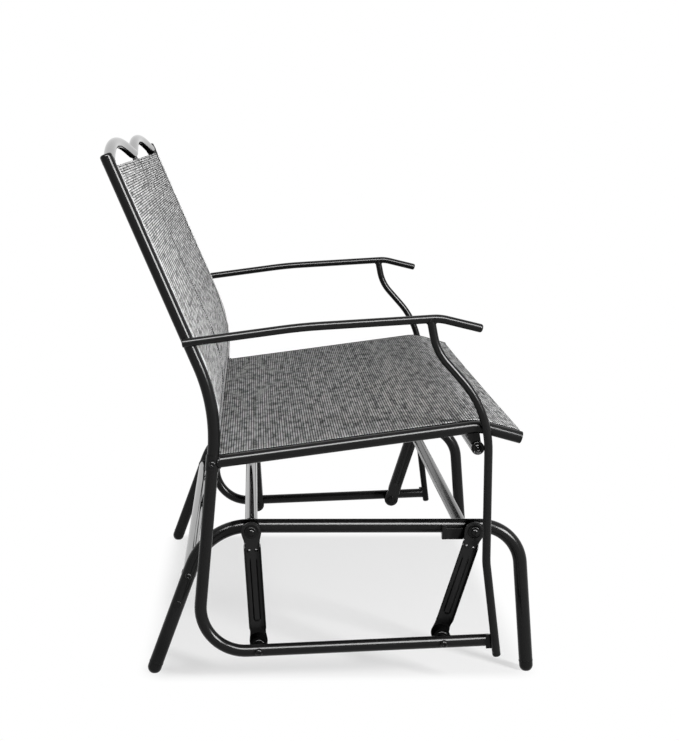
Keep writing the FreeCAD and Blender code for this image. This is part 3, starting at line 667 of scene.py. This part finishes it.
def addTurned(target, centre, axis, profile, hexRadius=None):
    bm = bmesh.new()
    chain = [bm.verts.new((radius, 0, along)) for along, radius in profile]
    edges = [bm.edges.new(pair) for pair in zip(chain, chain[1:])]
    bmesh.ops.spin(bm, geom=chain + edges, cent=(0, 0, 0), axis=(0, 0, 1), angle=2 * math.pi,
                   steps=turning["steps"], use_merge=True)
    for vert in bm.verts:
        if hexRadius and abs(math.hypot(vert.co.x, vert.co.y) - hexRadius) < 1e-4:
            # a socket's round wall is pushed out to six flats
            turn = math.atan2(vert.co.y, vert.co.x) % (math.pi / 3) - math.pi / 6
            vert.co.x *= math.cos(math.pi / 6) / math.cos(turn)
            vert.co.y *= math.cos(math.pi / 6) / math.cos(turn)
    place = Matrix.Translation(centre) @ axis.to_track_quat("Z", "Y").to_matrix().to_4x4() @ Matrix.Scale(0.001, 4)
    bmesh.ops.transform(bm, matrix=place, verts=bm.verts)
    addMesh(target, bm)


def domeRun(start, end, base):
    # a quarter ellipse from (start, base radius) to (end, 0)
    turns = [math.pi / 2 * index / turning["domeSteps"] for index in range(turning["domeSteps"] + 1)]
    return [(start + (end - start) * math.sin(turn), base * math.cos(turn)) for turn in turns]


def shank(length, radius):
    return [(-length, 0.0), (-length, radius - 0.5), (-length + 0.7, radius), (0.0, radius)]


def capHead(radius, brim, dome, height):
    # a cap nut: a thin brim with a rounded edge under a dome
    return [(0.0, radius - 0.3), (0.25, radius), (brim - 0.3, radius), (brim, radius - 0.35),
            (brim + 0.05, dome + 0.25), (brim + 0.3, dome)] + domeRun(brim + 0.8, height, dome - 0.15)[1:]


def socketHead(radius, height, socket, depth):
    # a button head with a six-sided socket
    return [(0.0, radius - 0.25), (0.25, radius), (height * 0.28, radius), (height * 0.55, radius * 0.93),
            (height * 0.8, radius * 0.78), (height * 0.95, radius * 0.62), (height, socket + 0.75),
            (height - 0.12, socket + 0.25), (height - 0.4, socket), (height - depth, socket), (height - depth, 0.0)]


fitting = {"rearPivot": (0.1255, 0.259), "frontPivot": (-0.253, 0.259), "rearFoot": (0.112015, 0.069479),
           "frontFoot": (-0.197369, 0.082562), "legBolt": (0.23202, 0.174), "joint": (0.189, 0.389),
           "plug": (-0.2468, 0.415), "railEnd": (-0.317, 0.4325), "topCapX": 0.5014, "lowHeadX": 0.56045,
           "legHeadX": 0.4672, "bandHeadX": 0.56315, "plugX": 0.556, "washerX": (0.5288, 0.49795),
           "sleeveX": (0.53035,), "railEndRun": (0, -0.067, -0.0181), "lipHeight": 0.01775,
           "lips": ((0.28815, -19.75), (-0.35445, 4.9)), "plateSize": (0.0125, 0.0070, 0.0230),
           "plateAt": (0.47325, -0.2035, 0.2520), "plateEdge": 0.0006}

profiles = {
    "cap": capHead(8.6, 1.3, 6.4, 5.6),
    "lowScrew": shank(74.85, 4.0) + socketHead(6.6, 5.6, 2.5, 2.6),
    "washer": [(0.0, 4.1), (0.0, 10.6), (0.3, 11.0), (0.8, 11.2), (1.2, 11.0), (1.5, 10.4), (1.3, 9.6),
               (1.2, 8.4), (1.2, 4.1), (0.0, 4.1)],
    "sleeve": [(0.0, 4.1), (0.0, 6.2), (0.5, 6.7), (1.2, 6.7), (1.8, 6.3), (2.4, 6.1), (9.3, 6.1), (9.3, 4.1),
               (0.0, 4.1)],
    "smallHead": socketHead(5.9, 3.9, 2.0, 2.0),
    "plug": [(-12.0, 0.0), (-12.0, 8.9), (-11.2, 9.42), (0.2, 9.42), (0.2, 10.8), (0.45, 11.0), (1.1, 11.0),
             (1.6, 10.75), (2.0, 10.3), (2.15, 9.7), (2.0, 9.1), (1.6, 8.7), (0.9, 8.2), (0.5, 7.6), (0.4, 6.4),
             (0.6, 5.4), (1.0, 5.0), (1.2, 4.6), (1.0, 4.2), (0.5, 3.7)] + domeRun(0.6, 3.0, 3.2),
    "railCap": [(-12.0, 0.0), (-12.0, 8.2), (-11.2, 8.7), (0.2, 8.7), (0.2, 10.0), (0.4, 10.25), (1.5, 10.25),
                (2.3, 9.9), (2.85, 9.1), (3.0, 8.2), (2.8, 7.3), (2.45, 6.9), (2.45, 0.0)],
    "lip": [(-1.1, 11.7), (-1.1, 12.15), (-0.8, 12.45), (0.8, 12.45), (1.1, 12.15), (1.1, 11.7), (-1.1, 11.7)],
}


def makeTurned(name, body, slot, parts, node=None):
    bm = bmesh.new()
    for part in parts:
        addTurned(bm, *part)
    finishPiece(name, bothSides(bm), body, slot, node=node)


def makeFittings():
    def across(name, x, profile, *socket):
        return (sideView(*fitting[name], x), acrossAxis, profile, *socket)

    feet = ("rearFoot", "frontFoot")
    makeTurned("pivot_caps", "base", "black_fastener",
               [across("rearPivot", fitting["topCapX"], shank(84.4, 4.0) + profiles["cap"]),
                across("frontPivot", fitting["topCapX"], shank(67.9, 4.0) + profiles["cap"])], "top_pivot_bolts")
    makeTurned("pivot_screws", "seat_frame", "black_fastener",
               [across(foot, fitting["lowHeadX"], profiles["lowScrew"], 2.5) for foot in feet],
               "bottom_pivot_bolts")
    # washers with rounded rims, and the sleeves that keep the arms clear of the bottom tubes
    for part, node in (("washer", "bottom_pivot_washers"), ("sleeve", "bottom_pivot_spacers")):
        makeTurned("low_pivot_" + part + "s", "seat_frame", "black_fastener",
                   [across(foot, x, profiles[part]) for foot in feet for x in fitting[part + "X"]], node)
    makeTurned("leg_screws", "base", "black_fastener",
               [across("legBolt", fitting["legHeadX"], shank(50.2, 3.0) + profiles["smallHead"], 2.0)], "leg_bolts")
    makeTurned("band_screws", "seat_frame", "black_fastener",
               [across("joint", fitting["bandHeadX"], [(0.0, 0.0)] + profiles["smallHead"], 2.0)],
               "joint_band_bolts")
    makeTurned("tube_end_plugs", "seat_frame", "black_plastic",
               [across("plug", fitting["plugX"], profiles["plug"])], "cross_tube_plugs")
    railEnd = (sideView(*fitting["railEnd"], frameHalf), Vector(fitting["railEndRun"]).normalized())
    makeTurned("rail_end_caps", "seat_frame", "black_plastic", [(*railEnd, profiles["railCap"])], "seat_rail_caps")

    # a plate across the rear end of each front saddle
    bm = bmesh.new()
    bmesh.ops.create_cube(bm, size=1.0)
    bmesh.ops.scale(bm, verts=bm.verts, vec=fitting["plateSize"])
    bmesh.ops.bevel(bm, geom=bm.edges[:], offset=fitting["plateEdge"], segments=2, affect="EDGES", profile=0.5)
    bmesh.ops.translate(bm, verts=bm.verts, vec=fitting["plateAt"])
    finishPiece("saddle_end_plates", bothSides(bm), "base", "black_frame")

    # a thin lip round the top of each foot cap
    makeTurned("foot_cap_lips", "base", "black_plastic",
               [(sideView(y, fitting["lipHeight"], baseHalf), leaning(lean), profiles["lip"])
                for y, lean in fitting["lips"]])


makeFittings()
print("fittings done")


# Swing arms, in millimetres: one pressing each, with turned-out edges, a round eye at both ends, two dimples,
# and a raised panel between two grooves

arm = {"half": 13.5, "eye": 17.0, "foot": 15.5, "faceX": 499.5, "sheet": 2.2, "edge": 6.6, "edgeWidth": 2.6,
       "edgeCrest": 0.6, "edgeStart": 15.0, "edgeRamp": 13.0, "taper": 3.0, "flare": 1.7, "flareReach": 12.0,
       "flareLeast": 0.34, "endFlare": 0.2, "dimpleAt": {"rear": 32.0, "front": 28.0}, "dimpleOut": 6.0,
       "dimple": 2.1, "dimpleWidth": 2.5, "grooveStart": 44.0, "grooveEnd": 34.0, "grooveRamp": 4.0,
       "grooveOut": 5.4, "groove": 1.5, "grooveWidth": 0.9, "panel": 0.6, "panelSlope": (0.4, -0.8), "boss": 0.7,
       "bossRadius": 13.4, "bossWidth": 1.2, "bore": 4.1, "openBore": 9.5, "boreRing": 1.3, "columns": 44,
       "bunching": 0.43 * math.pi, "endRows": 14, "fineRows": 36, "fineRow": 1.1, "row": 2.6, "smooth": 50.0}


def softMax(first, second, width):
    high, low = max(first, second), min(first, second)
    return high + width * math.log1p(math.exp((low - high) / width))


def armHalf(run, length):
    # half the pressing's width at a distance from its top pivot
    if run < -arm["eye"] + sameSpot or run > length + arm["foot"] - sameSpot:
        return 0.0
    fromEnd = min(run, length - run)
    top = math.sqrt(max(arm["eye"] ** 2 - run ** 2, 0.0))
    low = math.sqrt(max(arm["foot"] ** 2 - (length - run) ** 2, 0.0))
    straight = arm["half"] + arm["taper"] * min(fromEnd, 0.0)
    if fromEnd < 0:
        return max(top, low) if straight < 0 else softMax(max(top, low), straight, arm["flare"] * arm["endFlare"])
    flare = arm["flare"] * smoothStep(0, arm["flareReach"], fromEnd) + arm["flareLeast"]
    return softMax(max(top, low), straight, flare)


def armRelief(run, out, half, length, dimpleAt):
    # how far the sheet stands out from its flat face
    height = arm["edge"] * smoothStep(half - arm["edgeWidth"], half - arm["edgeCrest"], abs(out))
    height *= smoothStep(arm["edgeStart"], arm["edgeStart"] + arm["edgeRamp"], min(run, length - run))
    for sign in (-1, 1):
        away = math.hypot(run - dimpleAt, out - sign * arm["dimpleOut"])
        height += arm["dimple"] * math.exp(-(away / arm["dimpleWidth"]) ** 2)
    along = smoothStep(arm["grooveStart"], arm["grooveStart"] + arm["grooveRamp"], run)
    along *= smoothStep(arm["grooveEnd"], arm["grooveEnd"] + arm["grooveRamp"], length - run)
    height -= arm["groove"] * along * math.exp(-((abs(out) - arm["grooveOut"]) / arm["grooveWidth"]) ** 2)
    low, high = arm["panelSlope"]
    height += arm["panel"] * along * smoothStep(arm["grooveOut"] + low, arm["grooveOut"] + high, abs(out))
    height += arm["boss"] * math.exp(-((math.hypot(run, out) - arm["bossRadius"]) / arm["bossWidth"]) ** 2)
    return height


def armRows(length):
    turns = [math.pi / 2 * index / arm["endRows"] for index in range(arm["endRows"] + 1)]
    fine = [arm["fineRow"] * index for index in range(arm["fineRows"])]
    reach = arm["fineRow"] * arm["fineRows"]
    middle = length - 2 * reach
    count = round(middle / arm["row"])
    rows = [-arm["eye"] * math.cos(turn) for turn in turns[:-1]] + fine
    rows += [reach + middle * index / count for index in range(count + 1)]
    rows += [length - step for step in reversed(fine)]
    return rows + [length + arm["foot"] * math.sin(turn) for turn in turns[1:]]


def cutBore(bm, centre, bore):
    # the sheet is opened round a pivot, and the rim is drawn to a true circle
    middle = Vector((centre, 0))
    inside = [vert for vert in bm.verts if (vert.co.xy - middle).length < bore]
    bmesh.ops.delete(bm, geom=inside, context="VERTS")
    for vert in bm.verts:
        away = vert.co.xy - middle
        if away.length < bore + arm["boreRing"] and any(edge.is_boundary for edge in vert.link_edges):
            vert.co.x, vert.co.y = middle + away.normalized() * bore


def makeArm(end, word, side, top, foot, footBore):
    length = math.dist(top, foot) * 1000
    along = Vector((0, foot[0] - top[0], foot[1] - top[1])).normalized()
    across = acrossAxis.cross(along)
    rows = armRows(length)
    bm = bmesh.new()
    bmesh.ops.create_grid(bm, x_segments=arm["columns"], y_segments=len(rows) - 1, size=0.5)
    for vert in bm.verts:
        run = rows[round((vert.co.y + 0.5) * (len(rows) - 1))]
        half = armHalf(run, length)
        out = math.sin(2 * vert.co.x * arm["bunching"]) / math.sin(arm["bunching"]) * half
        vert.co = (run, out, armRelief(run, out, half, length, arm["dimpleAt"][end]))
    cutBore(bm, 0.0, arm["bore"])
    cutBore(bm, length, footBore)
    start = sideView(*top)
    for vert in bm.verts:
        run, out, height = vert.co
        place = start + (along * run + across * out) * 0.001
        place.x = side * (arm["faceX"] + height) * 0.001
        vert.co = place
    bmesh.ops.remove_doubles(bm, verts=bm.verts, dist=sameSpot)
    bmesh.ops.dissolve_degenerate(bm, edges=bm.edges, dist=sameSpot)
    bmesh.ops.recalc_face_normals(bm, faces=bm.faces)
    if sum(face.normal.x for face in bm.faces) * side < 0:
        bmesh.ops.reverse_faces(bm, faces=bm.faces)
    bmesh.ops.solidify(bm, geom=bm.faces[:], thickness=arm["sheet"] * 0.001)
    finishPiece(end + "_arm_shell_" + word, bm, end + "_arm_" + word, "black_frame", "armPaint", arm["smooth"],
                end + "_arm_pressing_" + word)


def makeArms():
    for word, side in (("left", 1), ("right", -1)):
        makeArm("rear", word, side, fitting["rearPivot"], fitting["rearFoot"], arm["bore"])
        makeArm("front", word, side, fitting["frontPivot"], fitting["frontFoot"], arm["openBore"])


makeArms()
print("swing arms done")


# Studio: the cards only show in gloss, and the key and the world light the bench

studio = {"key": {"from": (-3.07, -2.63, 1.62), "size": (0.7, 0.7), "power": 255.0, "seenBy": "diffuse"},
          "keyCard": {"from": (-3.07, -2.63, 1.84), "size": (1.6, 1.4), "power": 430.0, "seenBy": "glossy"},
          "skyCard": {"from": (-2.6, 0.0, 2.7), "size": (3.2, 1.1), "power": 540.0, "seenBy": "glossy"},
          # the floor's grey box round the footprint is a painted shadow
          "aim": (0.0, 0.0, 0.45), "fill": 0.12, "floorSize": 14.0, "floorColour": 0.28, "floorGlow": 0.64,
          "paintedShadowHalf": (0.455, 0.295), "paintedShadowMiddle": (0.0, -0.03), "paintedShadowReach": 0.06}


def seenDirectly(tree):
    # one for rays from the camera, in gloss or through glass, and nought for light on matt surfaces
    rays = addNode(tree, "ShaderNodeLightPath").outputs
    seen = mathNode(tree, "ADD", rays["Is Camera Ray"], rays["Is Glossy Ray"], clamp=True)
    return mathNode(tree, "ADD", seen, rays["Is Transmission Ray"], clamp=True)


def mixShader(tree, amount, low, high):
    node = addNode(tree, "ShaderNodeMixShader")
    for socket, source in zip(node.inputs, (amount, low.outputs[0], high.outputs[0])):
        tree.links.new(source, socket)
    return node.outputs[0]


def buildWorld():
    world = bpy.data.worlds.new("studioWorld")
    bpy.context.scene.world = world
    world.use_nodes = True
    tree = world.node_tree
    tree.nodes.clear()
    lighting = addNode(tree, "ShaderNodeBackground", Color=grey(1.0), Strength=studio["fill"])
    backdrop = addNode(tree, "ShaderNodeBackground", Color=grey(1.0), Strength=1.0)
    addNode(tree, "ShaderNodeOutputWorld", Surface=mixShader(tree, seenDirectly(tree), lighting, backdrop))


def buildFloor():
    bm = bmesh.new()
    bmesh.ops.create_grid(bm, x_segments=2, y_segments=2, size=studio["floorSize"])
    mesh = bpy.data.meshes.new("floor")
    bm.to_mesh(mesh)
    bm.free()
    material = bpy.data.materials.new("paleFloor")
    material.use_nodes = True
    tree = material.node_tree
    tree.nodes.clear()
    add, less, times = (partial(mathNode, tree, name) for name in ("ADD", "SUBTRACT", "MULTIPLY"))
    seen = seenDirectly(tree)
    matte = addNode(tree, "ShaderNodeBsdfDiffuse", Color=grey(studio["floorColour"]))
    glow = addNode(tree, "ShaderNodeEmission", Strength=times(seen, studio["floorGlow"]))
    both = addNode(tree, "ShaderNodeAddShader")
    for socket, source in zip(both.inputs, (matte, glow)):
        tree.links.new(source.outputs[0], socket)
    # painted shadow: inside a soft box round the bench's footprint the floor is grey and keeps cast shadows, and plain
    # white starts a little way outside it
    white = addNode(tree, "ShaderNodeEmission")
    place = addNode(tree, "ShaderNodeTexCoord").outputs["Object"]
    flat = addNode(tree, "ShaderNodeSeparateXYZ", Vector=place).outputs
    sides = []
    for axis, half, middle in zip("XY", studio["paintedShadowHalf"], studio["paintedShadowMiddle"]):
        beyond = less(mathNode(tree, "ABSOLUTE", less(flat[axis], middle)), half)
        sides.append(mathNode(tree, "POWER", mathNode(tree, "MAXIMUM", beyond, 0.0), 2.0))
    outsidePaintedShadow = stepNode(tree, mathNode(tree, "SQRT", add(*sides)), 0.0, studio["paintedShadowReach"])
    addNode(tree, "ShaderNodeOutputMaterial", Surface=mixShader(tree, times(outsidePaintedShadow, seen), both, white))
    mesh.materials.append(material)
    linkObject("floor", mesh)


def buildLamp(name):
    lamp = studio[name]
    data = bpy.data.lights.new(name, "AREA")
    data.shape = "RECTANGLE"
    data.size, data.size_y = lamp["size"]
    data.energy = lamp["power"]
    light = linkObject(name, data)
    light.location = Vector(lamp["from"])
    light.visible_camera = False
    light.visible_diffuse = lamp["seenBy"] == "diffuse"
    light.visible_glossy = lamp["seenBy"] == "glossy"
    light.rotation_euler = (Vector(studio["aim"]) - light.location).to_track_quat("-Z", "Y").to_euler()


viewpoint = {"place": (-3.181, 0.1245, 0.943), "yaw": -3.05, "pitch": 8.65, "roll": -0.67, "focalPixels": 1633.4,
             "centre": (338.4, 370.8), "picture": (679, 741), "sensor": 36.0}


def buildCamera():
    yaw, pitch, roll = (math.radians(viewpoint[name]) for name in ("yaw", "pitch", "roll"))
    forward = Vector((math.cos(pitch) * math.cos(yaw), math.cos(pitch) * math.sin(yaw), -math.sin(pitch)))
    level = forward.cross(upAxis).normalized()
    down = forward.cross(level)
    right = level * math.cos(roll) + down * math.sin(roll)
    below = down * math.cos(roll) - level * math.sin(roll)
    width, height = viewpoint["picture"]
    data = bpy.data.cameras.new("photoCamera")
    data.sensor_width = viewpoint["sensor"]
    data.lens = viewpoint["focalPixels"] * viewpoint["sensor"] / max(width, height)
    data.shift_x = (width / 2 - viewpoint["centre"][0]) / max(width, height)
    data.shift_y = (viewpoint["centre"][1] - height / 2) / max(width, height)
    camera = linkObject("photoCamera", data)
    axes = Matrix((right, -below, -forward)).transposed().to_4x4()
    camera.matrix_world = Matrix.Translation(viewpoint["place"]) @ axes
    bpy.context.scene.camera = camera


buildWorld()
buildFloor()
for lampName in ("key", "keyCard", "skyCard"):
    buildLamp(lampName)
buildCamera()
bpy.context.scene.view_settings.view_transform = "Standard"
print("studio done")
